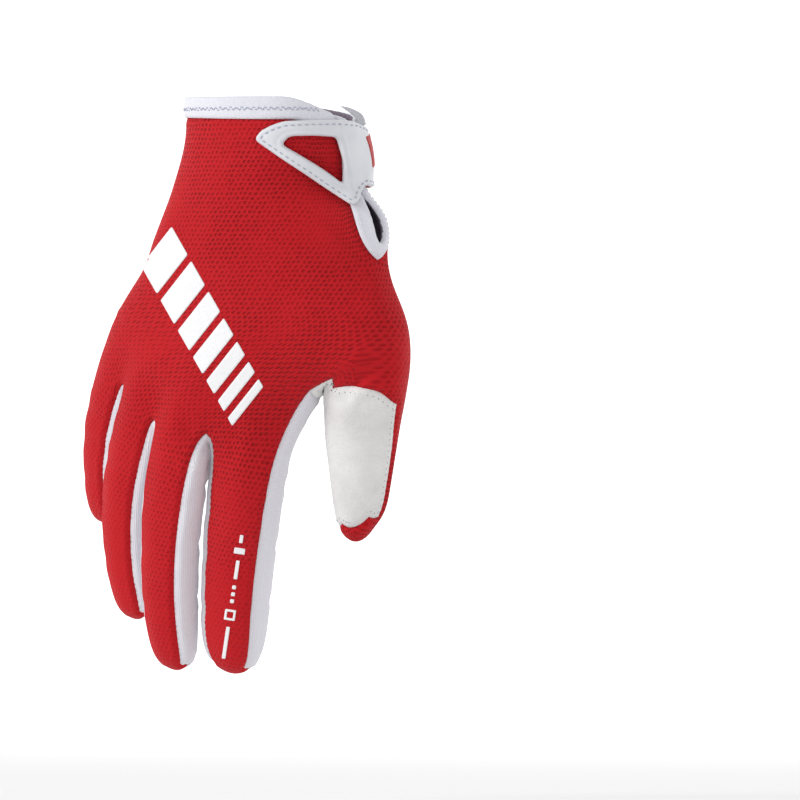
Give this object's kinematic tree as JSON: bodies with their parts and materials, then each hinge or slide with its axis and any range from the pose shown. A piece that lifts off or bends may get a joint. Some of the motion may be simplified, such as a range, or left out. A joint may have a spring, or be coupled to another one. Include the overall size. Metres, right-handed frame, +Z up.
{
  "type": "motocross glove",
  "caption": "Right-hand motocross glove in its worn form: mesh back, leather palm and thumb pad, stretch side walls, bound keyhole slit and a hook-and-loop wrist strap with an open triangle.",
  "frame": {"origin": "centre of the cuff opening, level with its upper edge", "axes": "+Z up out of the cuff along the forearm, fingers down; +X toward the thumb; -Y the back of the hand and +Y the palm"},
  "size_m": [0.1444, 0.061, 0.2145],
  "materials": {
    "back_mesh": "matt red spacer mesh",
    "palm_leather": "matt white synthetic leather",
    "pad_leather": "matt white synthetic leather",
    "stretch_cloth": "matt off-white stretch knit",
    "binding_tape": "matt white stretch binding",
    "strap_moulding": "satin white moulded strap",
    "loop_cloth": "brushed loop pile"
  },
  "bodies": {
    "root": {"back_panel": "back_mesh", "palm_panel": "palm_leather", "thumb_pad": "pad_leather", "fourchette_middle_index": "stretch_cloth", "fourchette_ring_middle": "stretch_cloth", "fourchette_little_ring": "stretch_cloth", "sidewall_index": "stretch_cloth", "sidewall_little": "stretch_cloth", "cuff_binding": "binding_tape", "slit_binding": "binding_tape", "wrist_strap": "strap_moulding", "loop_patch": "loop_cloth"}
  },
  "joints": []
}
